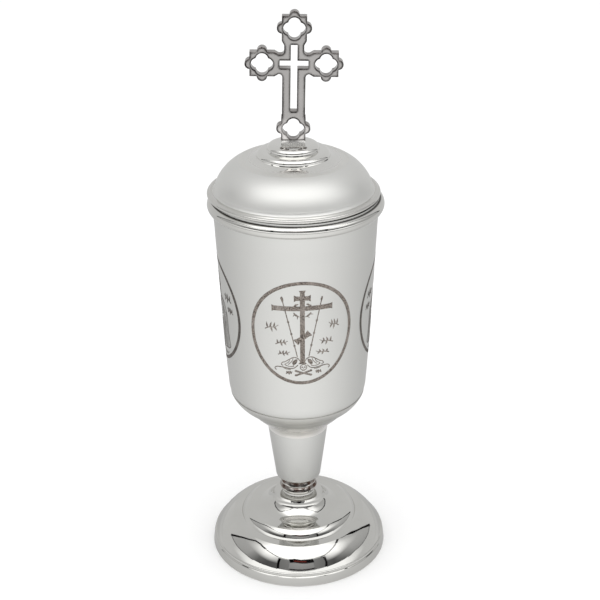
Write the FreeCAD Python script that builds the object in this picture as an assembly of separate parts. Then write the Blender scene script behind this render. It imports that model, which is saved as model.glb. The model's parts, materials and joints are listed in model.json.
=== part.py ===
import FreeCAD, Part
import math
import os

# Lidded ciborium vessel in spun and plated metal, built the way such a vessel is put together:
# a stepped foot, a neck collar, a conical stem sleeve and a bowl, pulled together by one tie rod,
# and a loose domed lid with a turned crown and a pierced cross.
# Millimetres. +Z is up, the front medallion faces -Y, and the origin is the centre of the
# circle on which the foot stands.

os.makedirs("parts", exist_ok=True)
Vector = FreeCAD.Vector
X_AXIS = Vector(1, 0, 0)
Y_AXIS = Vector(0, 1, 0)
Z_AXIS = Vector(0, 0, 1)

# ---- driving dimensions -------------------------------------------------------------------

SHEET = 1.0                 # thickness of the spun sheet of the foot, stem, bowl and lid

FOOT_RADIUS = 40.0          # circle on the table
BAND_HEIGHT = 4.4           # flat band round the edge of the foot
BEAD_TOP = 6.1              # top of the half-round bead on the band
DOME_1_TOP = (30.3, 14.7)   # radius and height of the upper edge of the first dome
DOME_2_BASE = (26.5, 15.1)
DOME_2_TOP = (23.3, 18.7)
LEDGE_HEIGHT = 19.1         # ledge between the second dome and the flare
FLARE_BASE_RADIUS = 17.9
FLARE_TOP = (11.2, 25.0)
FOOT_TOP = 25.9             # flat top of the foot, on which the collar stands
FOOT_BORE = 5.6

COLLAR_TOP_RADIUS = 6.6
STEM_BORE = 6.0             # hole in the turned-in end of the stem
STEM_FOOT = 34.8
STEM_BOTTOM = (10.2, 36.0)
STEM_TOP = (13.5, 60.8)

SEAT_RIM = (29.7, 80.0)     # rim of the dish that the bowl stands in
BOWL_FLOOR = 72.0
BOWL_SHOULDER = (30.4, 84.0)
WALL_MIDDLE = (32.5, 120.0)
WALL_TOP = (34.4, 156.0)
RIM_RADIUS = 35.2           # outside of the bowl's wall at the mouth
RIM_HEIGHT = 171.9
RIM_BEAD_RADIUS = 37.3

LID_OFFSET = -0.8           # the loose lid lies this far to the left inside its play
LID_REST = 172.0            # underside of the lid's flange, just above the mouth
FLANGE_RADIUS = 36.4
FLANGE_TOP = 174.6
SKIRT_RADIUS = 32.9
SKIRT_BOTTOM = 165.5
LID_SHOULDER = (33.1, 176.4)
LID_DOME_EDGE = (23.0, 187.3)
CROWN_SEAT = 187.6
CROWN_TOP = 194.5

CROSS_LEAN = 1.2            # degrees, the cross is soldered a little out of true
CROSS_THICKNESS = 4.4
CROSS_FOOT = 196.0
CROSS_CENTRE = 227.8
TOP_LOBE_REACH = 14.5       # from the crossing to the middle of each lobe
SIDE_LOBE_REACH = 12.9
FOOT_LOBE_REACH = 26.9
LOBE_HALF = 5.0             # half of a lobe's square body
BUMP_RADIUS = 2.1           # round bump in the middle of each free side of a lobe
ARM_HALF_WIDTH = 4.0
SHAFT_HALF_WIDTH = 4.7
ARM_FLARE = 1.7             # length over which an arm widens into its lobe
SLOT_WIDTH = 2.7            # Latin cross cut through the crossing
SLOT_TOP = 235.8
SLOT_BOTTOM = 208.3
SLOT_BAR_HALF = 5.8
SLOT_BAR_HEIGHT = 3.2

ROD_RADIUS = 2.5            # M5 tie rod through the stem
STUD_RADIUS = 2.0           # M4 stud that holds the finial to the lid
THREAD_PLAY = 0.02          # radial room between a thread and its nut
BORE_PLAY = 0.3             # radial room between a rod and a plain bore


# ---- helpers ------------------------------------------------------------------------------

def point(place):
    """A (radius, height) pair in the XZ half plane."""
    return Vector(place[0], 0, place[1])


def edges(start, *steps):
    """Edges from start through the steps: (r, z) is a line, ((r, z), (r, z)) an arc by way of the first."""
    made = []
    here = start
    for step in steps:
        if isinstance(step[0], tuple):
            middle, end = step
            made.append(Part.Arc(point(here), point(middle), point(end)).toShape())
        else:
            end = step
            made.append(Part.LineSegment(point(here), point(end)).toShape())
        here = end
    return made


def turned(start, *steps):
    """A turned solid: the closed outline, revolved about Z."""
    outline = edges(start, *steps, start)
    return Part.Face(Part.Wire(outline)).revolve(Vector(), Z_AXIS, 360)


def inward(tangent):
    """Unit vector square to a profile that climbs round the outside, pointing into the hollow."""
    return Vector(-tangent.z, 0, tangent.x)


def end_shift(thickness, tangent):
    """Step from outer to inner line at an open end, cut level, or upright where the profile is flat."""
    normal = inward(tangent)
    if abs(tangent.z) < 0.2:
        return Vector(0, 0, thickness / normal.z)
    return Vector(thickness / normal.x, 0, 0)


def joint_shift(thickness, before, after):
    """Step from outer to inner line at a joint, along the bisector of the two normals."""
    bisector = (inward(before) + inward(after)).normalize()
    return bisector * (thickness / bisector.dot(inward(after)))


def spun(thickness, start, *steps):
    """A spun shell: the outer profile from bottom to top, thickened towards the hollow."""
    outer = edges(start, *steps)
    starts = [edge.tangentAt(edge.FirstParameter) for edge in outer]
    ends = [edge.tangentAt(edge.LastParameter) for edge in outer]
    shifts = [end_shift(thickness, starts[0])]
    for before, after in zip(ends, starts[1:]):
        shifts.append(joint_shift(thickness, before, after))
    shifts.append(end_shift(thickness, ends[-1]))
    inner = []
    for edge, shift_start, shift_end in zip(outer, shifts, shifts[1:]):
        first = edge.valueAt(edge.FirstParameter) + shift_start
        last = edge.valueAt(edge.LastParameter) + shift_end
        if isinstance(edge.Curve, Part.Circle):
            halfway = (edge.FirstParameter + edge.LastParameter) / 2
            middle = edge.valueAt(halfway) + inward(edge.tangentAt(halfway)) * thickness
            inner.append(Part.Arc(first, middle, last).toShape())
        else:
            inner.append(Part.LineSegment(first, last).toShape())
    bottom = Part.LineSegment(outer[0].firstVertex().Point, inner[0].firstVertex().Point).toShape()
    top = Part.LineSegment(outer[-1].lastVertex().Point, inner[-1].lastVertex().Point).toShape()
    outline = Part.Wire(Part.__sortEdges__(outer + inner + [bottom, top]))
    return Part.Face(outline).revolve(Vector(), Z_AXIS, 360)


def hex_nut(across_flats, bore, bottom, top):
    """Hexagonal nut with turned-down corners at both faces."""
    corner = across_flats / math.sqrt(3)
    corners = [
        Vector(corner * math.cos(math.radians(60 * i)), corner * math.sin(math.radians(60 * i)), bottom)
        for i in range(6)
    ]
    prism = Part.Face(Part.makePolygon(corners + corners[:1])).extrude(Z_AXIS * (top - bottom))
    bevel = corner - across_flats / 2
    blank = turned(
        (bore, bottom), (across_flats / 2, bottom), (corner, bottom + bevel),
        (corner, top - bevel), (across_flats / 2, top), (bore, top),
    )
    return prism.common(blank)


def washer(inner, outer, bottom, top):
    return turned((inner, bottom), (outer, bottom), (outer, top), (inner, top))


def studding(radius, bottom, top):
    """A threaded rod drawn at its outer size, with a chamfer at each end."""
    chamfer = 0.2 * radius
    return turned(
        (0, bottom), (radius - chamfer, bottom), (radius, bottom + chamfer),
        (radius, top - chamfer), (radius - chamfer, top), (0, top),
    )


def export(name, shape):
    shape.exportStep("parts/" + name + ".step")


# ---- foot ---------------------------------------------------------------------------------

def foot_base_ring():
    """Band with a half-round bead on top, which stiffens the edge of the spun foot."""
    groove = (39.0, BAND_HEIGHT + 0.2)
    return turned(
        (36.8, 0), (FOOT_RADIUS - 0.2, 0), (FOOT_RADIUS, 0.2), (FOOT_RADIUS - 0.5, BAND_HEIGHT - 0.2),
        (FOOT_RADIUS - 0.7, BAND_HEIGHT), groove,
        ((39.15, 5.4), (38.5, BEAD_TOP)),
        (37.2, BEAD_TOP), (36.8, BEAD_TOP - 0.4),
    )


def foot_shell():
    """Two spun domes and a hollow flare, each behind a ledge, and a flat top."""
    return spun(
        SHEET, (38.4, BEAD_TOP),
        ((35.3, 10.5), DOME_1_TOP),
        DOME_2_BASE,
        ((25.16, 17.19), DOME_2_TOP),
        (22.4, LEDGE_HEIGHT), (FLARE_BASE_RADIUS, LEDGE_HEIGHT),
        ((15.0, 20.4), (12.2, 22.9)),
        ((11.6, 23.9), FLARE_TOP),
        (10.7, FOOT_TOP), (FOOT_BORE, FOOT_TOP),
    )


def neck_collar():
    """Turned collar between foot and stem: a waist and two sloping bands, with a spigot at each end."""
    bore = ROD_RADIUS + BORE_PLAY
    lower_spigot = FOOT_BORE - 0.1
    upper_spigot = STEM_BORE - 0.1
    return turned(
        (bore, FOOT_TOP - 1.8), (lower_spigot, FOOT_TOP - 1.8), (lower_spigot, FOOT_TOP), (7.3, FOOT_TOP),
        ((6.9, 27.0), (7.7, 28.3)),
        (8.5, 28.6), (8.6, 29.0),
        ((7.95, 29.95), (7.15, 30.8)),
        (8.0, 31.2), (8.05, 31.5),
        ((7.45, 32.45), (COLLAR_TOP_RADIUS, 33.4)),
        (COLLAR_TOP_RADIUS, STEM_FOOT), (upper_spigot, STEM_FOOT),
        (upper_spigot, STEM_FOOT + 2.2), (bore, STEM_FOOT + 2.2),
    )


def stem_sleeve():
    """Conical tube, wider at the top, with its lower end turned in on the collar."""
    return spun(
        SHEET, (STEM_BORE, STEM_FOOT),
        (9.0, STEM_FOOT),
        ((9.85, 35.15), STEM_BOTTOM),
        STEM_TOP,
    )


# ---- bowl ---------------------------------------------------------------------------------

def bowl_profile():
    """Outer line of the bowl from the middle of its floor to the mouth."""
    return (
        (0, BOWL_FLOOR), (16.0, BOWL_FLOOR),
        ((20.6, BOWL_FLOOR + 0.2), (24.2, 73.6)),
        ((28.4, 78.1), BOWL_SHOULDER),
        ((31.65, 102.0), WALL_MIDDLE),
        WALL_TOP,
        ((34.65, 161.0), (RIM_RADIUS, 165.4)),
        (RIM_RADIUS, RIM_HEIGHT),
    )


def cup_bowl():
    return spun(SHEET, *bowl_profile())


def bowl_outside():
    """The bowl without its hollow, for fitting the dish under it."""
    return turned(*bowl_profile(), (0, RIM_HEIGHT))


def bowl_seat():
    """Dish that flares out of the stem and wraps the underside of the bowl, thinning to its rim."""
    dish = spun(
        SHEET, STEM_TOP,
        ((14.5, 63.1), (16.9, 66.0)),
        ((20.1, 69.1), (23.3, 72.65)),
        ((27.1, 75.8), SEAT_RIM),
    )
    return dish.cut(bowl_outside())


def bowl_boss():
    """Threaded boss soldered under the floor of the bowl."""
    bore = ROD_RADIUS + THREAD_PLAY
    return turned(
        (bore, BOWL_FLOOR - 6.5), (7.0, BOWL_FLOOR - 6.5), (8.0, BOWL_FLOOR - 1.0), (9.5, BOWL_FLOOR),
        (bore, BOWL_FLOOR),
    )


def cup_rim_bead():
    """Half-round bead round the mouth."""
    top = RIM_HEIGHT - 0.9
    return turned(
        (RIM_RADIUS, 165.6),
        ((RIM_BEAD_RADIUS, 168.9), (RIM_RADIUS + 0.5, top)),
        (RIM_RADIUS, top),
    )


# ---- fastening under the foot --------------------------------------------------------------

CLAMP_TOP = LEDGE_HEIGHT - SHEET
CLAMP_BOTTOM = CLAMP_TOP - 1.5
SPRING_BOTTOM = CLAMP_BOTTOM - 1.3
NUT_BOTTOM = SPRING_BOTTOM - 4.0


def tie_rod():
    return studding(ROD_RADIUS, NUT_BOTTOM - 2.2, BOWL_FLOOR - 0.6)


def clamp_plate():
    """Plate that the nut pulls up against the underside of the upper ledge."""
    return washer(ROD_RADIUS + BORE_PLAY, 21.0, CLAMP_BOTTOM, CLAMP_TOP)


def spring_washer():
    """Split spring washer under the nut."""
    ring = washer(ROD_RADIUS + 0.1, 4.6, SPRING_BOTTOM, CLAMP_BOTTOM)
    split = Part.makeBox(4.0, 0.7, 4.0, Vector(1.5, -0.35, SPRING_BOTTOM - 1.0))
    return ring.cut(split)


def clamp_nut():
    return hex_nut(8.0, ROD_RADIUS + THREAD_PLAY, NUT_BOTTOM, SPRING_BOTTOM)


# ---- lid ----------------------------------------------------------------------------------

def lid_flange_bead():
    """Rounded ring on which the lid rests."""
    return turned(
        (SKIRT_RADIUS, LID_REST), (34.8, LID_REST), (36.1, LID_REST + 0.6),
        ((FLANGE_RADIUS, 173.3), (35.5, 174.2)),
        (35.0, FLANGE_TOP), (SKIRT_RADIUS, FLANGE_TOP),
    )


def lid_skirt():
    """Short tube that keeps the lid in the mouth."""
    inner = SKIRT_RADIUS - 0.8
    return turned(
        (inner, SKIRT_BOTTOM), (SKIRT_RADIUS - 0.3, SKIRT_BOTTOM), (SKIRT_RADIUS, SKIRT_BOTTOM + 0.5),
        (SKIRT_RADIUS, FLANGE_TOP), (inner, FLANGE_TOP),
    )


def lid_dome():
    """Spun dome with a flat seat for the crown."""
    return spun(
        SHEET, (34.0, FLANGE_TOP),
        ((33.4, 175.4), LID_SHOULDER),
        ((29.9, 182.0), LID_DOME_EDGE),
        (20.5, CROWN_SEAT), (STUD_RADIUS + BORE_PLAY, CROWN_SEAT),
    )


def lid_crown():
    """Turned crown: a thin skirt and two rounded steps, each behind a cove."""
    bore = STUD_RADIUS + BORE_PLAY
    return turned(
        (bore, CROWN_SEAT), (20.5, CROWN_SEAT), LID_DOME_EDGE,
        (18.6, 188.0),
        ((17.02, 188.35), (15.5, 188.9)),
        (15.4, 189.3),
        ((15.0, 190.6), (13.5, 191.5)),
        (11.1, 191.7), (10.9, 192.2),
        ((10.5, 193.4), (9.0, 194.3)),
        (8.0, CROWN_TOP), (bore, CROWN_TOP),
    )


def stud_washer():
    return washer(STUD_RADIUS + 0.1, 5.0, CROWN_SEAT - SHEET - 1.0, CROWN_SEAT - SHEET)


def stud_nut():
    top = CROWN_SEAT - SHEET - 1.0
    return hex_nut(7.0, STUD_RADIUS + THREAD_PLAY, top - 3.2, top)


def cross_stud():
    return studding(STUD_RADIUS, CROWN_SEAT - SHEET - 5.4, CROSS_FOOT - 0.6)


# ---- cross --------------------------------------------------------------------------------

def plate_rectangle(left, bottom, right, top):
    """Upright slab, as thick as the cross."""
    corner = Vector(left, -CROSS_THICKNESS / 2, bottom)
    return Part.makeBox(right - left, CROSS_THICKNESS, top - bottom, corner)


def plate_outline(corners):
    """Straight-sided piece of the plate from its (across, up) corners."""
    ring = [Vector(across, -CROSS_THICKNESS / 2, up) for across, up in corners]
    return Part.Face(Part.makePolygon(ring + ring[:1])).extrude(Y_AXIS * CROSS_THICKNESS)


def plate_disc(radius, across, up):
    return Part.makeCylinder(radius, CROSS_THICKNESS, Vector(across, -CROSS_THICKNESS / 2, up), Y_AXIS)


def lobe_body(across, up, bumps):
    """Square lobe with a round bump on each of the named sides."""
    body = plate_rectangle(across - LOBE_HALF, up - LOBE_HALF, across + LOBE_HALF, up + LOBE_HALF)
    bump_reach = LOBE_HALF - 0.1
    for side_x, side_z in bumps:
        body = body.fuse(plate_disc(BUMP_RADIUS, across + side_x * bump_reach, up + side_z * bump_reach))
    return body


def lobe_hole(across, up):
    """Quatrefoil: four round bays with a cusp between each two."""
    bay_radius = 2.55
    bay_reach = 1.95
    hole = plate_disc(bay_radius, across, up)
    for side_x, side_z in ((1, 0), (-1, 0), (0, 1), (0, -1)):
        hole = hole.fuse(plate_disc(bay_radius, across + side_x * bay_reach, up + side_z * bay_reach))
    return hole


def leaned(shape):
    """Tilt a piece of the cross about the middle of its foot."""
    shape.rotate(Vector(0, 0, CROSS_FOOT), Y_AXIS, CROSS_LEAN)
    return shape


def rounded_crossing(plate):
    """Fillet the inner corners where the arms meet."""
    corners = []
    for edge in plate.Edges:
        first, last = edge.Vertexes[0].Point, edge.Vertexes[-1].Point
        along_y = abs(first.x - last.x) < 1e-6 and abs(first.z - last.z) < 1e-6
        near_crossing = 3.5 < abs(first.x) < 5.0 and 3.5 < abs(first.z - CROSS_CENTRE) < 4.5
        if along_y and near_crossing:
            corners.append(edge)
    return plate.makeFillet(1.4, corners)


def softened(plate):
    """Small chamfer on the front and back outlines."""
    rims = []
    for edge in plate.Edges:
        box = edge.BoundBox
        if box.YLength < 1e-6 and abs(abs(box.YMin) - CROSS_THICKNESS / 2) < 1e-6:
            rims.append(edge)
    return plate.makeChamfer(0.3, rims)


def cross_plate():
    """Pierced Latin cross with a lobe at each end."""
    top_lobe = CROSS_CENTRE + TOP_LOBE_REACH
    foot_lobe = CROSS_CENTRE - FOOT_LOBE_REACH
    plate = plate_rectangle(-ARM_HALF_WIDTH, CROSS_CENTRE, ARM_HALF_WIDTH, top_lobe)
    plate = plate.fuse(plate_rectangle(-SHAFT_HALF_WIDTH, foot_lobe, SHAFT_HALF_WIDTH, CROSS_CENTRE))
    plate = plate.fuse(
        plate_rectangle(-SIDE_LOBE_REACH, CROSS_CENTRE - ARM_HALF_WIDTH,
                        SIDE_LOBE_REACH, CROSS_CENTRE + ARM_HALF_WIDTH)
    )
    plate = plate.fuse(lobe_body(0, top_lobe, ((-1, 0), (0, 1), (1, 0))))
    plate = plate.fuse(lobe_body(-SIDE_LOBE_REACH, CROSS_CENTRE, ((-1, 0), (0, 1), (0, -1))))
    plate = plate.fuse(lobe_body(SIDE_LOBE_REACH, CROSS_CENTRE, ((1, 0), (0, 1), (0, -1))))
    plate = plate.fuse(lobe_body(0, foot_lobe, ((-1, 0), (1, 0))))
    plate = plate.fuse(plate_rectangle(-LOBE_HALF, CROSS_FOOT - 1.0, LOBE_HALF, foot_lobe))
    lobe_bottom = top_lobe - LOBE_HALF
    plate = plate.fuse(plate_outline([
        (-LOBE_HALF, lobe_bottom), (LOBE_HALF, lobe_bottom),
        (ARM_HALF_WIDTH, lobe_bottom - ARM_FLARE), (-ARM_HALF_WIDTH, lobe_bottom - ARM_FLARE),
    ]))
    for side in (-1, 1):
        lobe_edge = side * (SIDE_LOBE_REACH - LOBE_HALF)
        flare_end = lobe_edge - side * ARM_FLARE
        plate = plate.fuse(plate_outline([
            (lobe_edge, CROSS_CENTRE - LOBE_HALF), (lobe_edge, CROSS_CENTRE + LOBE_HALF),
            (flare_end, CROSS_CENTRE + ARM_HALF_WIDTH), (flare_end, CROSS_CENTRE - ARM_HALF_WIDTH),
        ]))
    plate = softened(rounded_crossing(plate.removeSplitter()))
    holes = [
        lobe_hole(0, top_lobe),
        lobe_hole(-SIDE_LOBE_REACH, CROSS_CENTRE),
        lobe_hole(SIDE_LOBE_REACH, CROSS_CENTRE),
        lobe_hole(0, foot_lobe),
        plate_rectangle(-SLOT_WIDTH / 2, SLOT_BOTTOM, SLOT_WIDTH / 2, SLOT_TOP),
        plate_rectangle(-SLOT_BAR_HALF, CROSS_CENTRE - SLOT_BAR_HEIGHT / 2,
                        SLOT_BAR_HALF, CROSS_CENTRE + SLOT_BAR_HEIGHT / 2),
    ]
    for hole in holes:
        plate = plate.cut(hole)
    plate = leaned(plate.removeSplitter())
    below = plate_rectangle(-2 * LOBE_HALF, CROSS_FOOT - 5.0, 2 * LOBE_HALF, CROSS_FOOT)
    return plate.cut(below)


def cross_base_block():
    """Block under the cross, with its front and back sloped in to the plate."""
    half_width = LOBE_HALF
    half_depth = 3.3
    half_top = CROSS_THICKNESS / 2 + 0.1
    outline = [
        Vector(-half_width, -half_depth, CROWN_TOP), Vector(-half_width, half_depth, CROWN_TOP),
        Vector(-half_width, half_depth, CROWN_TOP + 0.9), Vector(-half_width, half_top, CROSS_FOOT),
        Vector(-half_width, -half_top, CROSS_FOOT), Vector(-half_width, -half_depth, CROWN_TOP + 0.9),
    ]
    block = Part.Face(Part.makePolygon(outline + outline[:1])).extrude(X_AXIS * (2 * half_width))
    hole_height = CROSS_FOOT - CROWN_TOP
    stud_hole = Part.makeCylinder(STUD_RADIUS + THREAD_PLAY, hole_height, Vector(0, 0, CROWN_TOP), Z_AXIS)
    return block.cut(stud_hole)


# ---- assembly -----------------------------------------------------------------------------

VESSEL = {
    "foot_base_ring": foot_base_ring,
    "foot_shell": foot_shell,
    "neck_collar": neck_collar,
    "stem_sleeve": stem_sleeve,
    "bowl_seat": bowl_seat,
    "cup_bowl": cup_bowl,
    "cup_rim_bead": cup_rim_bead,
    "bowl_boss": bowl_boss,
    "tie_rod": tie_rod,
    "clamp_plate": clamp_plate,
    "spring_washer": spring_washer,
    "clamp_nut": clamp_nut,
}
LID = {
    "lid_flange_bead": lid_flange_bead,
    "lid_skirt": lid_skirt,
    "lid_dome": lid_dome,
    "lid_crown": lid_crown,
    "cross_base_block": cross_base_block,
    "cross_plate": cross_plate,
    "cross_stud": cross_stud,
    "stud_washer": stud_washer,
    "stud_nut": stud_nut,
}

for node_name, make in VESSEL.items():
    export(node_name, make())

for node_name, make in LID.items():
    piece = make()
    piece.translate(X_AXIS * LID_OFFSET)
    export(node_name, piece)
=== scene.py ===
import json
import math

import bmesh
import bpy
from mathutils import Matrix, Vector
from mathutils.bvhtree import BVHTree


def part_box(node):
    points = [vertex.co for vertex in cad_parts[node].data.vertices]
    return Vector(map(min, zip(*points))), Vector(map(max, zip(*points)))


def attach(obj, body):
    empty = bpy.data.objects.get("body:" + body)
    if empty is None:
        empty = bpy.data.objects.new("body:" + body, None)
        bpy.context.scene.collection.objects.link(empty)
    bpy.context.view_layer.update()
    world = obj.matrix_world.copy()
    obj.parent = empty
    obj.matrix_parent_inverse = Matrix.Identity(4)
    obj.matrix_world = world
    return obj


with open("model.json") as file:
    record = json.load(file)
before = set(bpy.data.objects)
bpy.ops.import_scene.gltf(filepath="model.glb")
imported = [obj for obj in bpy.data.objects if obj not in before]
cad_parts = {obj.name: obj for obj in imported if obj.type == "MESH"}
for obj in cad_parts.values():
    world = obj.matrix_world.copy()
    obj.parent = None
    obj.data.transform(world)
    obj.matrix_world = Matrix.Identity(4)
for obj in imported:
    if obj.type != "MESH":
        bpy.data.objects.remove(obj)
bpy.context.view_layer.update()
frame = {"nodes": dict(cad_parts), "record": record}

MM = 0.001
scene = bpy.context.scene
scene.view_settings.view_transform = "Standard"
nodes = frame["nodes"]


# ---- camera ---------------------------------------------------------------------------------

CAMERA_PLACE = Vector((0.0, -0.533, 0.3721))
CAMERA_DOWN = 0.4377        # radians below the horizon
CAMERA_ROLL = -0.0096

camera = bpy.data.objects.new("camera", bpy.data.cameras.new("camera"))
scene.collection.objects.link(camera)
camera.data.lens = 81.17
camera.data.sensor_width = 36.0
camera.data.shift_x = 0.0056
camera.data.clip_start = 0.01
camera.matrix_world = (
    Matrix.Translation(CAMERA_PLACE)
    @ Matrix.Rotation(math.pi / 2 - CAMERA_DOWN, 4, "X")
    @ Matrix.Rotation(CAMERA_ROLL, 4, "Z")
)
scene.camera = camera


# ---- node helpers ---------------------------------------------------------------------------

def new_material(name):
    """Material with nothing but a Principled shader: the material, its node tree and the shader."""
    material = bpy.data.materials.new(name)
    material.use_nodes = True
    tree = material.node_tree
    tree.nodes.clear()
    output = tree.nodes.new("ShaderNodeOutputMaterial")
    shader = tree.nodes.new("ShaderNodeBsdfPrincipled")
    tree.links.new(shader.outputs["BSDF"], output.inputs["Surface"])
    return material, tree, shader


def noise(tree, scale, detail=3.0, stretch=(1, 1, 1)):
    """Noise texture on object coordinates, which are metres."""
    coordinates = tree.nodes.new("ShaderNodeTexCoord")
    mapping = tree.nodes.new("ShaderNodeMapping")
    mapping.inputs["Scale"].default_value = stretch
    texture = tree.nodes.new("ShaderNodeTexNoise")
    texture.inputs["Scale"].default_value = scale
    texture.inputs["Detail"].default_value = detail
    tree.links.new(coordinates.outputs["Object"], mapping.inputs["Vector"])
    tree.links.new(mapping.outputs["Vector"], texture.inputs["Vector"])
    return texture.outputs["Fac"]


def ranged(tree, value, low, high, from_low=0.3, from_high=0.7):
    """Map a value from one range to another, held at the ends; the default source range suits noise."""
    remap = tree.nodes.new("ShaderNodeMapRange")
    remap.inputs["From Min"].default_value = from_low
    remap.inputs["From Max"].default_value = from_high
    remap.inputs["To Min"].default_value = low
    remap.inputs["To Max"].default_value = high
    tree.links.new(value, remap.inputs["Value"])
    return remap.outputs["Result"]


def blended(tree, value, first, second):
    """Mix two colours by a value."""
    mix = tree.nodes.new("ShaderNodeMix")
    mix.data_type = "RGBA"
    mix.inputs["A"].default_value = (*first, 1)
    mix.inputs["B"].default_value = (*second, 1)
    tree.links.new(value, mix.inputs["Factor"])
    return mix.outputs["Result"]


def combined(tree, operation, first, second):
    """Math node on two values."""
    node = tree.nodes.new("ShaderNodeMath")
    node.operation = operation
    tree.links.new(first, node.inputs[0])
    tree.links.new(second, node.inputs[1])
    return node.outputs["Value"]


def bumped(tree, shader, value, strength, distance):
    """Raise and sink the surface's shading by a value; distance is in metres."""
    bump = tree.nodes.new("ShaderNodeBump")
    bump.inputs["Strength"].default_value = strength
    bump.inputs["Distance"].default_value = distance
    tree.links.new(value, bump.inputs["Height"])
    tree.links.new(bump.outputs["Normal"], shader.inputs["Normal"])


def axis_distance(tree):
    """Distance of the shaded point from the upright axis, in metres."""
    coordinates = tree.nodes.new("ShaderNodeTexCoord")
    flat = tree.nodes.new("ShaderNodeVectorMath")
    flat.operation = "MULTIPLY"
    flat.inputs[1].default_value = (1, 1, 0)
    length = tree.nodes.new("ShaderNodeVectorMath")
    length.operation = "LENGTH"
    tree.links.new(coordinates.outputs["Object"], flat.inputs[0])
    tree.links.new(flat.outputs["Vector"], length.inputs[0])
    return length.outputs["Value"]


def point_height(tree):
    """Height of the shaded point, in metres."""
    coordinates = tree.nodes.new("ShaderNodeTexCoord")
    parts = tree.nodes.new("ShaderNodeSeparateXYZ")
    tree.links.new(coordinates.outputs["Object"], parts.inputs[0])
    return parts.outputs["Z"]


def within(tree, value, low, high, soft):
    """1 where the value lies between low and high, fading over the soft distance."""
    rise = ranged(tree, value, 0, 1, low - soft, low)
    fall = ranged(tree, value, 1, 0, high, high + soft)
    return combined(tree, "MULTIPLY", rise, fall)


def tinted(tree, shader, amount, colour):
    """Lay a colour over the base colour by amount."""
    under = shader.inputs["Base Color"].links[0].from_socket
    mix = tree.nodes.new("ShaderNodeMix")
    mix.data_type = "RGBA"
    tree.links.new(amount, mix.inputs["Factor"])
    tree.links.new(under, mix.inputs["A"])
    mix.inputs["B"].default_value = (*colour, 1)
    tree.links.new(mix.outputs["Result"], shader.inputs["Base Color"])


def roughened(tree, shader, amount):
    """Add an amount to the roughness."""
    under = shader.inputs["Roughness"].links[0].from_socket
    tree.links.new(combined(tree, "ADD", under, amount), shader.inputs["Roughness"])


def turning_marks(tree, scale):
    """Noise in rings round the axis, as a lathe leaves them."""
    across = tree.nodes.new("ShaderNodeCombineXYZ")
    tree.links.new(axis_distance(tree), across.inputs["X"])
    tree.links.new(point_height(tree), across.inputs["Z"])
    texture = tree.nodes.new("ShaderNodeTexNoise")
    texture.inputs["Scale"].default_value = scale
    texture.inputs["Detail"].default_value = 2
    tree.links.new(across.outputs[0], texture.inputs["Vector"])
    return texture.outputs["Fac"]


# ---- materials ------------------------------------------------------------------------------

UPRIGHT_PATCHES = (1.0, 1.0, 0.3)   # scale of a noise whose patches are longer up and down


def polished_metal(name, light=(0.66, 0.655, 0.63), dark=(0.62, 0.615, 0.59)):
    """Bright plating with hairline scratches, faint turning marks and a slightly duller bloom in patches."""
    material, tree, shader = new_material(name)
    shader.inputs["Metallic"].default_value = 1.0
    tint = ranged(tree, noise(tree, 60), 0, 1)
    tree.links.new(blended(tree, tint, light, dark), shader.inputs["Base Color"])
    scratches = ranged(tree, noise(tree, 900, 6, (1.0, 0.15, 0.4)), 0, 0.05, 0.55, 0.75)
    bloom = ranged(tree, noise(tree, 45, 3), 0.025, 0.06)
    tree.links.new(combined(tree, "ADD", scratches, bloom), shader.inputs["Roughness"])
    bumped(tree, shader, turning_marks(tree, 2600), 0.10, 0.000004)
    return material, tree, shader


def cross_metal():
    """Polished plate with painted shade: its sides are painted darker in patches, and its rounded edges near
    black.
    """
    material, tree, shader = polished_metal("polished_cross", (0.68, 0.66, 0.645), (0.62, 0.60, 0.585))
    bevel = tree.nodes.new("ShaderNodeBevel")
    bevel.samples = 8
    bevel.inputs["Radius"].default_value = 1.6 * MM
    parts = tree.nodes.new("ShaderNodeSeparateXYZ")
    tree.links.new(bevel.outputs["Normal"], parts.inputs[0])
    facing = combined(tree, "MULTIPLY", parts.outputs["Y"], parts.outputs["Y"])
    patchy = ranged(tree, noise(tree, 260, 2), 0.6, 1.0, 0.35, 0.6)
    # painted shade on the sides, which turn away from the front
    side = ranged(tree, facing, 1, 0, 0.72, 0.995)
    tinted(tree, shader, combined(tree, "MULTIPLY", side, patchy), (0.20, 0.18, 0.17))
    # painted shade: a near-black line where the bevelled edges turn from the front
    edge = within(tree, facing, 0.30, 0.93, 0.06)
    tinted(tree, shader, combined(tree, "MULTIPLY", edge, patchy), (0.016, 0.012, 0.011))
    return material


def crown_metal():
    """Polished turning that goes over into the satin of the dome towards its edge."""
    # the crown's base colours are paler than the plating's elsewhere: painted light
    material, tree, shader = polished_metal("polished_crown", (0.76, 0.755, 0.73), (0.72, 0.715, 0.69))
    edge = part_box("lid_crown")[1].y
    satin_share = ranged(tree, axis_distance(tree), 0, 0.38, edge - 6.5 * MM, edge - 1.5 * MM)
    roughened(tree, shader, satin_share)
    return material


def rim_metal():
    """Polished bead, with painted shade in the gap where the lid closes on the cup."""
    material, tree, shader = polished_metal("polished_rim")
    cup_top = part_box("cup_rim_bead")[1].z
    lid_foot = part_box("lid_flange_bead")[0].z
    cup_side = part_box("cup_bowl")[1].x
    # painted shade: a near-black band in the gap between the cup's bead and the lid's flange
    gap_shade = within(tree, point_height(tree), cup_top, lid_foot + 0.3 * MM, 0.25 * MM)
    inward = ranged(tree, axis_distance(tree), 1, 0, cup_side + 0.7 * MM, cup_side + 1.0 * MM)
    tinted(tree, shader, combined(tree, "MULTIPLY", gap_shade, inward), (0.03, 0.024, 0.02))
    return material


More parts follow.
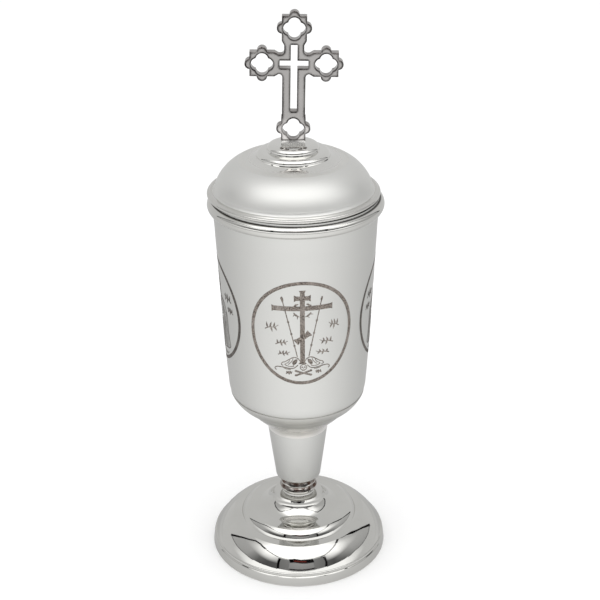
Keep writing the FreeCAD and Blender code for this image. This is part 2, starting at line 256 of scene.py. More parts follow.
def seat_metal():
    """Satin dish with a polished ring; painted light makes it pale at its foot, and a line of painted shade
    darkens it where it turns out.
    """
    material, tree, shader = polished_metal("ringed_seat")
    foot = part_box("bowl_seat")[0].z
    line_low = foot + 5.4 * MM
    ring_low = foot + 5.7 * MM
    ring_high = foot + 8.7 * MM
    ring = within(tree, point_height(tree), ring_low, ring_high, 0.3 * MM)
    roughened(tree, shader, ranged(tree, ring, 0.30, 0.03, 0, 1))
    # painted light: the base colour is near white up to the ring's top, fading above it
    pale = ranged(tree, point_height(tree), 1, 0, ring_high - 1.0 * MM, ring_high + 1.5 * MM)
    tinted(tree, shader, pale, (0.97, 0.95, 0.92))
    # painted shade: a dark line, in patches, just below the polished ring where the dish turns out
    line = within(tree, point_height(tree), line_low, ring_low, 0.15 * MM)
    wear_and_shade_patches = ranged(tree, noise(tree, 500, 3, UPRIGHT_PATCHES), 0.2, 0.9, 0.40, 0.60)
    tinted(tree, shader, combined(tree, "MULTIPLY", line, wear_and_shade_patches), (0.10, 0.085, 0.075))
    return material


def collar_metal():
    """Polished turning with a painted dark brown reflection on its two bands."""
    material, tree, shader = polished_metal("polished_collar")
    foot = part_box("neck_collar")[0].z
    patchy = ranged(tree, noise(tree, 420, 3, UPRIGHT_PATCHES), 0.45, 1.0, 0.38, 0.62)
    # painted reflection: two dark brown bands, in patches
    for low, high in ((5.2, 6.7), (7.7, 9.3)):
        reflection_band = within(tree, point_height(tree), foot + low * MM, foot + high * MM, 0.2 * MM)
        tinted(tree, shader, combined(tree, "MULTIPLY", reflection_band, patchy), (0.115, 0.07, 0.055))
    return material


def satin_metal(name, roughness, brightness):
    """Satin plating: silky, with turning marks and a fine grain."""
    material, tree, shader = new_material(name)
    shader.inputs["Metallic"].default_value = 1.0
    tint = ranged(tree, noise(tree, 25, 2), 0, 1)
    light = (brightness, brightness, brightness - 0.02)
    dark = tuple(tone - 0.02 for tone in light)
    tree.links.new(blended(tree, tint, light, dark), shader.inputs["Base Color"])
    grain = ranged(tree, noise(tree, 2500, 3), -0.012, 0.012)
    lines = ranged(tree, turning_marks(tree, 1800), roughness - 0.02, roughness + 0.02)
    tree.links.new(combined(tree, "ADD", grain, lines), shader.inputs["Roughness"])
    bumped(tree, shader, turning_marks(tree, 3200), 0.12, 0.000006)
    return material


def hardware_metal():
    """Zinc plated steel with its mottled crystal pattern."""
    material, tree, shader = new_material("zinc_hardware")
    shader.inputs["Metallic"].default_value = 1.0
    tint = ranged(tree, noise(tree, 700, 4), 0, 1)
    tree.links.new(blended(tree, tint, (0.55, 0.56, 0.58), (0.40, 0.41, 0.42)), shader.inputs["Base Color"])
    rough = ranged(tree, noise(tree, 500), 0.30, 0.50)
    tree.links.new(rough, shader.inputs["Roughness"])
    bumped(tree, shader, noise(tree, 1500, 4), 0.2, 0.00002)
    return material


def engraving_metal(name, paleness):
    """Darkened silver in the engraving: speckled, and worn paler in places; a deep cut is less pale."""
    material, tree, shader = new_material(name)
    shader.inputs["Metallic"].default_value = 0.35
    speckle = ranged(tree, noise(tree, 2200, 5), 0, 1, 0.42, 0.58)
    low = tuple(tone * paleness for tone in (0.055, 0.042, 0.034))
    high = tuple(tone * paleness for tone in (0.30, 0.262, 0.230))
    tree.links.new(blended(tree, speckle, low, high), shader.inputs["Base Color"])
    wear_and_shade_patches = ranged(tree, noise(tree, 160, 3), 0, 0.55 * paleness, 0.50, 0.70)
    tinted(tree, shader, wear_and_shade_patches, (0.34, 0.31, 0.285))
    tree.links.new(ranged(tree, noise(tree, 1800, 3), 0.45, 0.70), shader.inputs["Roughness"])
    bumped(tree, shader, noise(tree, 3000, 4), 0.3, 0.00002)
    return material


engraved = engraving_metal("engraved_dark", 1.0)
engraved_deep = engraving_metal("engraved_deep", 0.42)
SLOT_LOOKS = {
    "polished_silver": polished_metal("polished_plate")[0],
    "satin_silver": satin_metal("satin_plate", 0.35, 0.65),
    "steel_hardware": hardware_metal(),
}
rim = rim_metal()
OWN_LOOKS = {
    "cross_plate": cross_metal(),
    "lid_crown": crown_metal(),
    "lid_flange_bead": rim,
    "cup_rim_bead": rim,
    "neck_collar": collar_metal(),
    "bowl_seat": seat_metal(),
    # lid and block: the cup's satin plating with a paler base colour, painted light
    "lid_dome": satin_metal("satin_lid", 0.46, 0.74),
    "cross_base_block": satin_metal("satin_block", 0.28, 0.95),
}
for part in frame["record"]["subparts"]:
    mesh = nodes[part["node"]].data
    mesh.materials.clear()
    mesh.materials.append(OWN_LOOKS.get(part["node"], SLOT_LOOKS[part["material_slot"]]))


def mesh_object(name, verts, faces, material):
    mesh = bpy.data.meshes.new(name)
    mesh.from_pydata(verts, [], faces)
    mesh.materials.append(material)
    made = bpy.data.objects.new(name, mesh)
    scene.collection.objects.link(made)
    return made


# ---- engraved medallions --------------------------------------------------------------------

# Four oval medallions round the cup. Each is drawn flat in millimetres, s to the right and t up
# from its middle, as strips between two lines. Every strip then becomes a thin closed inlay that
# follows the wall of the cup.

cup_mesh = nodes["cup_bowl"].data
cup_wall = BVHTree.FromPolygons(
    [vertex.co for vertex in cup_mesh.vertices],
    [tuple(face.vertices) for face in cup_mesh.polygons],
)
MEDALLION_HEIGHT = 122.3            # of the medallions' middles above the floor, millimetres
MEDALLION_WALL_RADIUS = 32.6        # of the cup at that height, millimetres
RAY_START = 60 * MM                 # from the axis, well outside the cup
INLAY_PROUD = 0.05                  # how far a strip stands out of the wall, millimetres
INLAY_STAGGER = 0.003               # added with each next strip, so that the two share no surface
STAGGER_STEPS = 7                   # number of strips after which the heights repeat
INLAY_SUNK = -0.03                  # underside of a strip, inside the wall
GRAIN = 1.0                         # longest step of an inlay, so that it follows the round wall


def wall_place(azimuth, s, t, lift):
    """Place on the cup's outside; azimuth in degrees, 0 at the front; s, t and lift in millimetres."""
    turn = math.radians(azimuth) + s / MEDALLION_WALL_RADIUS
    outward = Vector((math.sin(turn), -math.cos(turn), 0))
    start = outward * RAY_START + Vector((0, 0, (MEDALLION_HEIGHT + t) * MM))
    hit = cup_wall.ray_cast(start, -outward)[0]
    return hit + outward * lift * MM


def mixed(first, second, share):
    return (first[0] + (second[0] - first[0]) * share, first[1] + (second[1] - first[1]) * share)


def gap(first, second):
    return math.hypot(second[0] - first[0], second[1] - first[1])


def fine_strip(left, right, closed):
    """The strip's two lines with extra points, so that no step is longer than GRAIN."""
    fine_left = []
    fine_right = []
    count = len(left) if closed else len(left) - 1
    for i in range(count):
        j = (i + 1) % len(left)
        steps = max(1, math.ceil(max(gap(left[i], left[j]), gap(right[i], right[j])) / GRAIN))
        for k in range(steps):
            fine_left.append(mixed(left[i], left[j], k / steps))
            fine_right.append(mixed(right[i], right[j], k / steps))
    if not closed:
        fine_left.append(left[-1])
        fine_right.append(right[-1])
    return fine_left, fine_right


def strip_faces(base, rows, across, closed):
    """Faces of one strip: its top and underside, its long sides and, unless it is a ring, its ends."""
    faces = []
    wide = across + 1
    under = rows * wide
    for i in range(rows if closed else rows - 1):
        here = base + i * wide
        after = base + (i + 1) % rows * wide
        for k in range(across):
            top = (here + k, after + k, after + k + 1, here + k + 1)
            faces.append(top)
            faces.append(tuple(under + top[corner] for corner in (0, 3, 2, 1)))
        faces.append((here, under + here, under + after, after))
        faces.append((here + across, after + across, under + after + across, under + here + across))
    if not closed:
        for row, ahead in ((base, 1), (base + (rows - 1) * wide, -1)):
            for k in range(across):
                quad = (row + k, row + k + 1, under + row + k + 1, under + row + k)
                faces.append(quad[::ahead])
    return faces


def inlay(name, azimuth, strips, material):
    """One object from strips of (left line, right line, closed), wrapped on the cup."""
    verts = []
    faces = []
    for number, (left, right, closed) in enumerate(strips):
        left, right = fine_strip(left, right, closed)
        across = max(1, math.ceil(max(gap(a, b) for a, b in zip(left, right)) / GRAIN))
        faces += strip_faces(len(verts), len(left), across, closed)
        proud = INLAY_PROUD + INLAY_STAGGER * (number % STAGGER_STEPS)
        for lift in (proud, INLAY_SUNK):
            for a, b in zip(left, right):
                for k in range(across + 1):
                    verts.append(wall_place(azimuth, *mixed(a, b, k / across), lift))
    made = mesh_object(name, verts, faces, material)
    shaped = bmesh.new()
    shaped.from_mesh(made.data)
    bmesh.ops.recalc_face_normals(shaped, faces=shaped.faces)
    shaped.to_mesh(made.data)
    shaped.free()
    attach(made, "vessel")


def curve(points, steps=5):
    """Smooth line through the points (a Catmull-Rom spline)."""
    line = []
    for i in range(len(points) - 1):
        p0 = points[max(i - 1, 0)]
        p1 = points[i]
        p2 = points[i + 1]
        p3 = points[min(i + 2, len(points) - 1)]
        for k in range(steps):
            u = k / steps
            line.append(tuple(
                0.5 * (2 * b + (c - a) * u + (2 * a - 5 * b + 4 * c - d) * u * u
                       + (3 * b - a - 3 * c + d) * u * u * u)
                for a, b, c, d in zip(p0, p1, p2, p3)
            ))
    return line + [tuple(points[-1])]


def oval(s, t, half_width, half_height, first, last, steps=24):
    """Points round an oval from one angle to another, in degrees, 0 to the right."""
    angles = [math.radians(first + (last - first) * i / steps) for i in range(steps + 1)]
    return [(s + half_width * math.cos(a), t + half_height * math.sin(a)) for a in angles]


def stroke(points, widths, closed=False):
    """Strip along a line; widths is one width, or one for each point to be spread along it."""
    count = len(points)
    if not isinstance(widths, (tuple, list)):
        widths = (widths, widths)
    left = []
    right = []
    for i, (s, t) in enumerate(points):
        before = points[i - 1] if i or closed else points[i]
        after = points[(i + 1) % count] if i < count - 1 or closed else points[i]
        length = gap(before, after)
        along = ((after[0] - before[0]) / length, (after[1] - before[1]) / length)
        at = i / max(count - 1, 1) * (len(widths) - 1)
        low = min(int(at), len(widths) - 2)
        half = (widths[low] + (widths[low + 1] - widths[low]) * (at - low)) / 2
        left.append((s - along[1] * half, t + along[0] * half))
        right.append((s + along[1] * half, t - along[0] * half))
    return (left, right, closed)


def ring(s, t, half_width, half_height, width, steps=32):
    return stroke(oval(s, t, half_width, half_height, 0, 360, steps)[:-1], width, True)


def blob(s, t, half_width, half_height):
    """Filled oval."""
    upper = oval(s, t, half_width, half_height, 172, 8, 10)
    lower = oval(s, t, half_width, half_height, 188, 352, 10)
    return (upper, lower, False)


def mirrored(strips):
    return [
        ([(-s, t) for s, t in left], [(-s, t) for s, t in right], closed)
        for left, right, closed in strips
    ]


def frame_ring():
    return [ring(0, 0, 21.7, 23.5, 1.5, 96)]


def sprig(s, t, width, height, way=1):
    """Leafy sprig that fills a box, its tip to the right, or to the left when way is -1."""
    def place(x, y):
        return (s + way * x * width / 2, t + y * height / 2)
    stem = curve([place(-1, -0.5), place(-0.3, -0.05), place(0.4, 0.0), place(1, 0.5)], 4)
    strips = [stroke(stem, (0.45, 0.25))]
    for x, y, tip_x, tip_y in (
        (-0.6, -0.2, -0.75, 0.85), (-0.25, -0.05, 0.0, 0.95), (-0.1, -0.05, 0.1, -0.95),
        (0.3, 0.0, 0.5, 0.95), (0.45, 0.05, 0.75, -0.6),
    ):
        root = place(x, y)
        tip = place(tip_x, tip_y)
        middle = mixed(root, tip, 0.5)
        strips.append(stroke([root, mixed(root, tip, 0.25), middle, tip], (0.2, 0.75, 0.7, 0.1)))
    return strips


def level_bar(t, reach, flare_from, end_width, width):
    """Level bar of a cross, flared at both ends and a touch slimmer in the middle."""
    line = [(s, t) for s in (-reach, -flare_from, 0, flare_from, reach)]
    return stroke(line, (end_width, width, width - 0.1, width, end_width))


def crown_of_thorns():
    """Four arcs of a thorny ring round the crossing, clear of the bars."""
    strips = []
    wide = 3.9
    for middle, high, thorn in ((42, 2.6, 0.7), (138, 2.6, 0.7), (228, 3.7, 1.4), (312, 3.7, 1.4)):
        strips.append(stroke(oval(0, 11.6, wide, high, middle - 24, middle + 24, 6), (0.3, 0.85, 0.3)))
        for turn in (-13, 11):
            a = math.radians(middle + turn)
            lean = a + 0.12
            root = ((wide - 0.1) * math.cos(a), 11.6 + high * math.sin(a))
            tip = ((wide - 0.1 + thorn) * math.cos(lean), 11.6 + (high + thorn) * math.sin(lean))
            strips.append(stroke([root, tip], (0.6, 0.12)))
    return strips


def lance_and_reed():
    """Two knotted poles that lean on the cross, with a spear's head and a sponge."""
    strips = []
    lance = ((-7.9, 14.8), (-2.2, -10.8))
    reed = ((7.8, 15.2), (2.7, -10.8))
    for pole in (lance, reed):
        strips.append(stroke(pole, 0.42))
        for share in (0.34, 0.56, 0.78):
            strips.append(stroke([mixed(*pole, share), mixed(*pole, share + 0.03)], 0.85))
    strips.append(stroke([(-8.45, 17.5), (-8.3, 16.7), (-8.05, 15.6), (-7.9, 14.7)], (0.12, 1.15, 0.9, 0.4)))
    strips.append(stroke([(8.1, 16.9), (7.9, 15.9), (7.75, 14.9)], (0.5, 0.95, 0.45)))
    return strips


def hill():
    """Rocky hill with a cave on each side."""
    half = [
        stroke(curve([(-0.9, -13.0), (-2.1, -11.5), (-3.9, -11.1), (-5.6, -12.0), (-7.4, -13.2),
                      (-8.7, -13.7), (-9.1, -14.7), (-8.3, -15.1)]), 0.38),
        stroke(curve([(-5.3, -11.9), (-6.0, -13.4), (-7.6, -14.6), (-5.4, -15.5), (-3.6, -15.2)]), 0.32),
        stroke(curve([(-11.4, -17.5), (-12.0, -16.6), (-11.0, -15.8), (-8.2, -15.9), (-5.6, -16.4),
                      (-3.6, -16.2), (-2.0, -14.8)]), 0.42),
        stroke(curve([(-4.0, -11.3), (-4.6, -13.0), (-6.2, -14.6)]), 0.32),
        stroke(curve([(-8.8, -15.6), (-7.4, -16.6), (-5.0, -17.0)]), 0.30),
        (
            curve([(-4.0, -15.0), (-4.4, -13.6), (-3.5, -12.3), (-2.3, -11.9)]),
            curve([(-3.8, -14.9), (-2.8, -14.1), (-2.3, -13.1), (-2.1, -12.0)]),
            False,
        ),
    ]
    return half + mirrored(half)


def skull_and_bones():
    strips = [
        ring(0.4, -15.9, 1.4, 1.35, 0.36, 16),
        blob(-0.15, -15.85, 0.36, 0.36),
        blob(0.95, -15.85, 0.36, 0.36),
        stroke([(0.4, -16.2), (0.4, -16.6)], 0.3),
        stroke([(-0.2, -17.35), (1.0, -17.35)], 0.45),
    ]
    for rise in (-1, 1):
        strips.append(stroke([(-2.6, -18.7 - rise * 0.95), (3.4, -18.7 + rise * 0.95)], (0.85, 0.5, 0.85)))
        strips.append(blob(-2.8, -18.7 - rise * 1.05, 0.62, 0.5))
        strips.append(blob(3.6, -18.7 + rise * 1.05, 0.62, 0.5))
    return strips


def cross_on_hill():
    """Cross with three bars, lance and reed, on a hill with caves over a skull and bones."""
    footrest = [(-2.8, -4.0), (-1.7, -3.1), (0.3, -1.8), (2.0, -0.5), (3.1, 0.4)]
    strips = [
        stroke([(0, -12.6), (0, 17.0), (0, 19.2), (0, 20.2)], (2.0, 2.0, 1.9, 2.7)),
        stroke([(0, -12.4), (0, -13.5), (0, -14.3)], (2.0, 2.2, 3.8)),
        level_bar(16.6, 3.4, 2.5, 3.1, 2.0),
        level_bar(11.9, 12.6, 11.7, 3.0, 2.2),
        stroke(footrest, (3.2, 2.2, 2.0, 2.2, 3.2)),
    ]
    strips += crown_of_thorns() + lance_and_reed() + hill() + skull_and_bones()
    for s, t, width, height, way in (
        (-12.9, 2.8, 5.9, 4.9, 1), (13.6, 3.0, 4.7, 5.0, -1), (-8.8, -4.2, 5.2, 3.4, 1),
        (10.3, -4.3, 6.0, 3.8, -1), (-7.9, -9.2, 5.0, 2.8, 1), (8.65, -9.2, 6.0, 2.8, -1),
        (-5.8, -18.5, 2.8, 2.0, 1), (6.9, -18.5, 2.8, 2.0, -1),
    ):
        strips += sprig(s, t, width, height, way)
    return strips


def calm_face(t):
    """Face of the engraver's pattern book: eyes halfway up the head, whose middle is at height t."""
    strips = [ring(0, t, 2.35, 3.1, 0.26, 32)]
    for side in (-1, 1):
        strips += [
            stroke(oval(side * 0.98, t + 0.28, 0.62, 0.42, 160, 20, 6), 0.17),
            stroke(oval(side * 0.98, t - 0.20, 0.58, 0.20, 20, 160, 6), 0.14),
            blob(side * 0.98, t + 0.05, 0.20, 0.17),
        ]
    strips += [
        stroke([(0.30, t + 0.45), (0.22, t - 0.7), (0.42, t - 1.15)], 0.16),
        stroke(oval(0, t - 1.20, 0.34, 0.16, 200, 340, 4), 0.16),
        stroke(oval(0, t - 1.62, 0.66, 0.14, 190, 350, 6), 0.18),
        stroke(oval(0, t - 1.86, 0.40, 0.16, 210, 330, 4), 0.14),
    ]
    return strips


def beard_and_hair(head):
    strips = []
    for s in (-1.5, -0.9, -0.3, 0.3, 0.9, 1.5):
        lock = curve([(s, head - 2.2), (s * 1.15, head - 3.3), (s * 0.6, head - 4.5)], 3)
        strips.append(stroke(lock, 0.2))
    for side in (-1, 1):
        hair = curve([
            (0, head + 3.2), (side * 1.9, head + 2.5), (side * 2.9, head + 0.4), (side * 3.1, head - 2.4),
        ])
        strips.append(stroke(hair, (0.5, 0.7, 0.4)))
    return strips


def veil(head):
    """Veil in two lines, down to the shoulders."""
    strips = []
    for side in (-1, 1):
        for wide, width in ((1.0, 0.42), (1.3, 0.26)):
            reach = side * wide
            edge = curve([
                (0, head + 2.7 * wide), (reach * 2.1, head + 1.9), (reach * 3.1, head - 0.8),
                (reach * 3.7, head - 4.6),
            ])
            strips.append(stroke(edge, width))
    return strips


def robe():
    """Robe with a cloak over it, in folds, and the tips of the shoes."""
    half = [
        stroke(curve([(2.6, 8.0), (6.0, 6.6), (8.0, 3.4), (8.6, -2.6), (7.9, -9.8), (8.7, -16.6)]), 0.50),
        stroke(curve([(1.6, 8.4), (3.4, 5.0), (3.9, 1.4)]), 0.34),
        stroke(curve([(4.9, 6.4), (6.1, 2.4), (5.6, -1.4), (3.2, -3.0)]), 0.36),
        stroke(curve([(6.9, 2.0), (7.0, -5.0), (6.4, -11.0), (7.0, -16.2)]), 0.30),
        stroke(curve([(5.6, -3.0), (5.1, -9.0), (5.5, -16.4)]), 0.30),
        stroke(curve([(3.9, -4.4), (3.3, -10.0), (3.9, -16.6)]), 0.26),
        stroke(curve([(2.2, -4.6), (1.7, -10.6), (2.2, -16.6)]), 0.30),
        stroke(curve([(0.8, -5.0), (0.6, -11.0), (0.8, -16.8)]), 0.22),
        stroke(curve([(8.7, -16.6), (6.2, -17.2), (3.4, -16.7), (0.4, -17.2)]), 0.40),
        stroke(curve([(1.0, -17.2), (1.7, -18.4), (3.4, -18.7), (3.8, -17.4)]), 0.42),
        stroke(curve([(2.9, -5.2), (4.6, -7.2), (6.2, -7.6)]), 0.24),
        stroke(curve([(9.6, 4.6), (11.6, -1.0), (11.9, -8.0), (13.0, -14.8)]), 0.42),
        stroke(curve([(10.3, 1.0), (10.5, -6.0), (11.3, -15.6)]), 0.34),
        stroke(curve([(9.3, -4.0), (9.4, -10.0), (10.0, -16.4)]), 0.30),
        stroke(curve([(7.2, 6.2), (9.6, 4.6)], 3), 0.42),
        stroke(curve([(13.0, -14.8), (11.6, -16.0), (8.7, -16.6)], 4), 0.42),
    ]
    return half + mirrored(half)


def book_and_raised_hand():
    corners = [(-0.4, -3.4), (3.6, -2.6), (3.0, 2.6), (-1.0, 1.8), (-0.4, -3.4)]
    strips = [stroke(edge, 0.42) for edge in zip(corners, corners[1:])]
    hand = curve([(-3.4, -1.6), (-3.2, 1.4), (-2.4, 3.9), (-2.0, 1.6), (-1.6, -0.4)])
    strips += [
        stroke([(1.1, -2.0), (1.5, 1.4)], 0.34),
        stroke([(0.1, 0.0), (2.5, 0.4)], 0.34),
        stroke(hand, 0.34),
        stroke([(-2.9, 1.6), (-2.9, 4.4)], 0.30),
    ]
    return strips


def folded_hands():
    strips = []
    for side in (-1, 1):
        hand = curve([
            (side * 3.0, -2.2), (side * 1.7, 0.6), (side * 0.35, 4.0), (side * 0.25, 0.4),
            (side * 0.9, -2.6),
        ])
        strips.append(stroke(hand, 0.36))
    strips.append(stroke(curve([(-3.4, -2.8), (0, -3.5), (3.4, -2.8)]), 0.36))
    return strips


def ground():
    half = [
        stroke(curve([(0, -19.4), (4.2, -18.9), (8.4, -19.4), (10.6, -18.4)]), 0.36),
        stroke(curve([(2.0, -20.4), (5.4, -20.1), (8.6, -20.2)]), 0.30),
    ]
    return half + mirrored(half)


def robed_figure(bearded):
    """Standing robed figure with a halo, a book or folded hands, and leafy sprigs at both sides."""
    head = 12.4
    strips = [ring(0, head + 0.3, 5.3, 5.3, 0.42, 48)]
    strips += calm_face(head)
    strips += beard_and_hair(head) if bearded else veil(head)
    strips += robe()
    strips += book_and_raised_hand() if bearded else folded_hands()
    strips += ground()
    for s, t, width, height in ((13.6, 8.6, 6.0, 4.6), (15.2, 3.2, 4.6, 3.6)):
        for side in (-1, 1):
            strips += sprig(side * s, t, width, height, -side)
    return strips


def vine_rosette():
    """Eight leaves round a small cross, inside a beaded ring."""
    strips = [ring(0, 0, 6.2, 6.2, 0.5, 48)]
    strips.append(stroke([(0, -4.6), (0, -3.6), (0, 3.6), (0, 4.6)], (2.2, 1.1, 1.1, 2.2)))
    strips.append(stroke([(-4.6, 0), (-3.6, 0), (3.6, 0), (4.6, 0)], (2.2, 1.1, 1.1, 2.2)))
    for i in range(8):
        a = math.radians(45 * i + 22.5)
        def place(along, aside):
            return (along * math.cos(a) - aside * math.sin(a), along * math.sin(a) + aside * math.cos(a))
        for side in (-1, 1):
            edge = curve([place(6.6, 0), place(9.8, side * 2.7), place(14.0, side * 2.2), place(17.6, 0)])
            strips.append(stroke(edge, 0.42))
            for along in (9.0, 11.4, 13.8):
                strips.append(stroke([place(along, 0), place(along + 1.4, side * 1.5)], (0.35, 0.15)))
        strips.append(stroke([place(7.0, 0), place(16.6, 0)], (0.5, 0.2)))
        b = a + math.radians(22.5)
        strips.append(blob(15.6 * math.cos(b), 15.6 * math.sin(b), 0.9, 0.9))
    return strips


MEDALLIONS = (
    ("front", 4, cross_on_hill(), engraved),
    ("left", -86, robed_figure(bearded=False), engraved_deep),
    ("right", 94, robed_figure(bearded=True), engraved_deep),
    ("back", 184, vine_rosette(), engraved),
)
for place_name, azimuth, drawing, cut in MEDALLIONS:
    inlay("medallion_ring_" + place_name, azimuth, frame_ring(), cut)
    inlay("medallion_" + place_name, azimuth, drawing, cut)


# ---- studio ---------------------------------------------------------------------------------

# A white tent, open at the front. Bands of its wall and ceiling are placed by azimuth and
# elevation, in degrees, as seen from the foot. Azimuth 0 is towards the camera, 90 towards +X.

TENT_RADIUS = 0.62
TENT_CENTRE = Vector((0.0, -0.03, 0.01))
TENT_GLOW = 0.70


def sky_point(azimuth, elevation, radius):
    a = math.radians(azimuth)
    e = math.radians(elevation)
    way = Vector((math.sin(a) * math.cos(e), -math.cos(a) * math.cos(e), math.sin(e)))
    return TENT_CENTRE + way * radius


def hidden_from_camera(piece):
    piece.visible_camera = False
    piece.visible_shadow = False
    piece.visible_diffuse = False


def glow_material():
    """Emission whose strength is stored on the mesh."""
    material = bpy.data.materials.new("studio_glow")
    material.use_nodes = True
    tree = material.node_tree
    tree.nodes.clear()
    output = tree.nodes.new("ShaderNodeOutputMaterial")
    glow = tree.nodes.new("ShaderNodeEmission")
    stored = tree.nodes.new("ShaderNodeAttribute")
    stored.attribute_name = "glow"
    tree.links.new(stored.outputs["Color"], glow.inputs["Color"])
    tree.links.new(glow.outputs["Emission"], output.inputs["Surface"])
    return material


studio_glow = glow_material()


def glowing_grid(name, rows):
    """Grid of points with a brightness each: rows of (place, brightness)."""
    width = len(rows[0])
    flat = [entry for row in rows for entry in row]
    faces = [
        (r * width + c, r * width + c + 1, (r + 1) * width + c + 1, (r + 1) * width + c)
        for r in range(len(rows) - 1)
        for c in range(width - 1)
    ]
    made = mesh_object(name, [place for place, brightness in flat], faces, studio_glow)
    stored = made.data.color_attributes.new("glow", "FLOAT_COLOR", "POINT")
    for entry, (place, brightness) in zip(stored.data, flat):
        tone = brightness if isinstance(brightness, tuple) else (brightness,) * 3
        entry.color = (*tone, 1)
    hidden_from_camera(made)


def between(first, last, share):
    """Mix two stations of (azimuth, elevation, brightness); brightness is a number or a colour."""
    if isinstance(first, tuple):
        return tuple(between(a, b, share) for a, b in zip(first, last))
    return first + (last - first) * share


def refined(stations, steps):
    """Rows of (azimuth, elevation, brightness) with extra stations between the given ones."""
    finer = []
    for first, last in zip(stations, stations[1:]):
        finer += [between(first, last, i / steps) for i in range(steps)]
    return finer + [stations[-1]]


def sky_band(name, rows, depth=1.0):
    """Patch of the tent from rows of (azimuth, elevation, brightness), lowest row first."""
    wide = [refined(row, 6) for row in rows]
    columns = [refined(list(column), 4) for column in zip(*wide)]
    grid = [
        [(sky_point(azimuth, elevation, TENT_RADIUS * depth), glow) for azimuth, elevation, glow in row]
        for row in zip(*columns)
    ]
    glowing_grid(name, grid)


def sky_line(name, points, width, brightness, depth=0.94):
    """Narrow strip of the tent along points of (azimuth, elevation)."""
    rows = []
    for side in (-0.5, 0.5):
        row = []
        for i, (azimuth, elevation) in enumerate(points):
            before = points[max(i - 1, 0)]
            after = points[min(i + 1, len(points) - 1)]
            squeeze = math.cos(math.radians(elevation))
            along = Vector(((after[0] - before[0]) * squeeze, after[1] - before[1])).normalized()
            aside = azimuth - along.y * side * width / squeeze
            row.append((aside, elevation + along.x * side * width, brightness))
        rows.append(row)
    sky_band(name, rows, depth)


world = bpy.data.worlds.new("studio")
scene.world = world
world.use_nodes = True
world.node_tree.nodes["Background"].inputs["Color"].default_value = (1, 1, 1, 1)
world.node_tree.nodes["Background"].inputs["Strength"].default_value = 1.0

# tent all round
sky_band("tent", [[(az, el, TENT_GLOW) for az in range(-180, 181, 30)] for el in range(-30, 91, 15)])

# lit ceiling over the opening
CEILING_LOW = 50
sky_band("tent_ceiling", [
    [(-112, el, TENT_GLOW), (-95, el, 0.95), (-75, el, glow),
     (75, el, glow), (98, el, 0.95), (114, el, TENT_GLOW)]
    for el, glow in ((CEILING_LOW, 1.8), (72, 1.8), (82, 1.5), (89, 1.1))
], 0.99)

# front of the tent's floor and wall below the opening
sky_band("tent_front", [
    [(-100, el, TENT_GLOW), (-62, el, glow), (62, el, glow), (100, el, TENT_GLOW)]
    for el, glow in ((-6, 0.62), (10, 0.66), (14, 1.4), (25, 1.5))
], 0.99)

# the two side lights, white at the top and dark below where their cloth hangs in shade
sky_band("left_light", [
    [(-116, 17, 0.55), (-80, 22, 0.45), (-60, 23, 0.12), (-45, 24, 0.09), (-30, 24, 0.12)],
    [(-104, 36, 0.55), (-80, 38, 0.55), (-62, 36, 0.20), (-48, 35, 0.11), (-31, 36, 0.13)],
    [(-100, 43, 0.60), (-80, 44, 0.90), (-62, 43, 1.10), (-48, 42, 0.90), (-33, 41, 0.50)],
    [(-96, 51, 0.65), (-80, 52, 1.40), (-62, 52, 1.80), (-48, 51, 1.70), (-33, 48, 0.80)],
], 0.97)
sky_band("right_light", [
    [(38, 24, 0.13), (50, 24, 0.09), (66, 23, 0.13), (85, 22, 0.40), (129, 11, 0.55)],
    [(40, 36, 0.15), (54, 35, 0.13), (70, 36, 0.38), (90, 36, 0.58), (118, 28, 0.55)],
    [(42, 41, 0.50), (54, 42, 1.00), (70, 43, 1.40), (88, 44, 1.10), (108, 42, 0.60)],
    [(42, 48, 0.80), (54, 50, 1.70), (70, 52, 1.90), (85, 54, 1.60), (100, 55, 0.65)],
], 0.97)
BLACK = 0.004
sky_line("left_light_rim", [(-116, 16), (-107, 34), (-97, 50), (-88, 53), (-70, 53)], 2.6, BLACK)
sky_line("left_light_top", [(-70, 53), (-55, 52), (-38, 50)], 1.2, 0.05)
sky_line("left_light_end", [(-34, 48), (-32, 38), (-29, 25)], 3.0, BLACK)
sky_line("left_light_foot", [(-116, 17), (-80, 22), (-66, 22)], 1.0, 0.10)
sky_line("right_light_rim", [(129, 10), (120, 29), (109, 46), (101, 55), (88, 55)], 2.6, BLACK)
sky_line("right_light_top", [(88, 55), (70, 53), (38, 48)], 1.2, 0.05)
sky_line("right_light_end", [(43, 47), (41, 36), (37, 25)], 3.0, BLACK)
sky_line("right_light_foot", [(129, 11), (85, 22), (72, 22)], 1.0, 0.10)

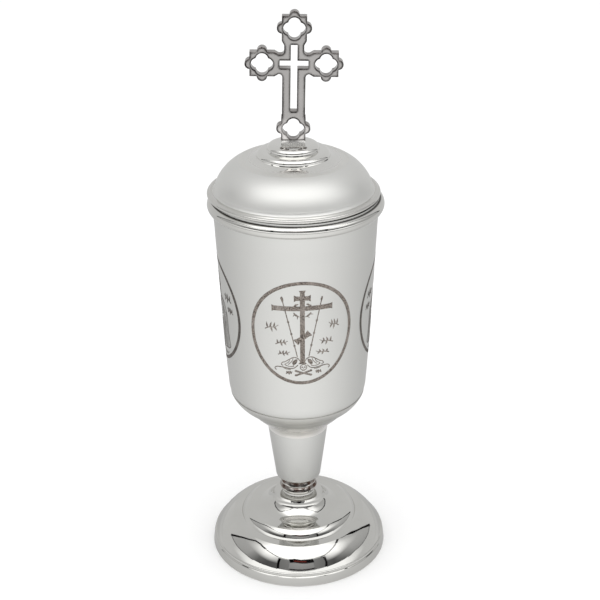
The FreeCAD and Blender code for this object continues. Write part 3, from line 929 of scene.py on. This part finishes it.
# the opening, with the dark camera in it
sky_band("opening", [
    [(-31, 25, 0.20), (-18, 25, 0.24), (26, 25, 0.24), (39, 25, 0.20)],
    [(-33, 48, 0.24), (-18, 48, 0.30), (26, 48, 0.30), (41, 48, 0.24)],
], 0.97)
sky_band("camera_body", [
    [(-15, 28, 0.34), (4, 28, 0.36), (22, 28, 0.34)],
    [(-15, 42, 0.40), (4, 42, 0.46), (22, 42, 0.40)],
], 0.95)
DARK_RED = (0.16, 0.028, 0.02)
sky_line("camera_top", [(-16, 46), (-8, 48), (4, 46), (14, 45), (24, 45)], 8.0, BLACK, 0.93)
sky_line("camera_glow", [(-8, 47), (2, 46), (12, 45)], 3.0, DARK_RED, 0.915)
sky_line("camera_grip", [(0, 43), (10, 42), (20, 42)], 2.6, 0.03, 0.92)
sky_line("camera_foot", [(-14, 28), (4, 27), (22, 28)], 2.2, BLACK, 0.93)

# floor: plain paper, and above it the brightness that the metal sees of it
floor_look, floor_tree, floor_shader = new_material("floor_paper")
floor_shader.inputs["Base Color"].default_value = (0.93, 0.93, 0.93, 1)
floor_shader.inputs["Roughness"].default_value = 0.9
FLOOR_HALF = 8.0
floor = mesh_object(
    "floor",
    [(x * FLOOR_HALF, y * FLOOR_HALF, 0) for x, y in ((-1, -1), (1, -1), (1, 1), (-1, 1))],
    [(0, 1, 2, 3)],
    floor_look,
)


FOOT_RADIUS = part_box("foot_base_ring")[1].x
SHADE_REACH = 50 * MM               # how far the foot darkens the paper round it


def floor_glow(azimuth, radius):
    """Brightness of the lit paper: brighter in front, darker close to the foot."""
    front = 0.5 + 0.5 * math.cos(math.radians(azimuth))
    open_paper = 0.60 + 0.56 * front ** 1.5
    clear = min(1.0, max(0.0, (radius - FOOT_RADIUS) / SHADE_REACH))
    return open_paper * (0.62 + 0.38 * clear ** 0.7)


def floor_place(azimuth, radius):
    """Place just above the floor; azimuth in degrees, 0 at the front."""
    a = math.radians(azimuth)
    return Vector((math.sin(a) * radius, -math.cos(a) * radius, FLOOR_LIFT))


FLOOR_RINGS = (0.002, 0.038, 0.041, 0.046, 0.055, 0.07, 0.09, 0.13, 0.2, 0.3, 0.45, TENT_RADIUS)
FLOOR_LIFT = 0.4 * MM
glowing_grid("floor_light", [
    [(floor_place(azimuth, radius), floor_glow(azimuth, radius)) for azimuth in range(-180, 181, 10)]
    for radius in FLOOR_RINGS
])

# soft light from above for the paper and the engraving
overhead = bpy.data.lights.new("overhead", "AREA")
overhead.shape = "DISK"
overhead.size = 3.0
overhead.energy = 14.0
lamp = bpy.data.objects.new("overhead", overhead)
lamp.location = (0.0, -0.4, 2.2)
lamp.visible_glossy = False
scene.collection.objects.link(lamp)
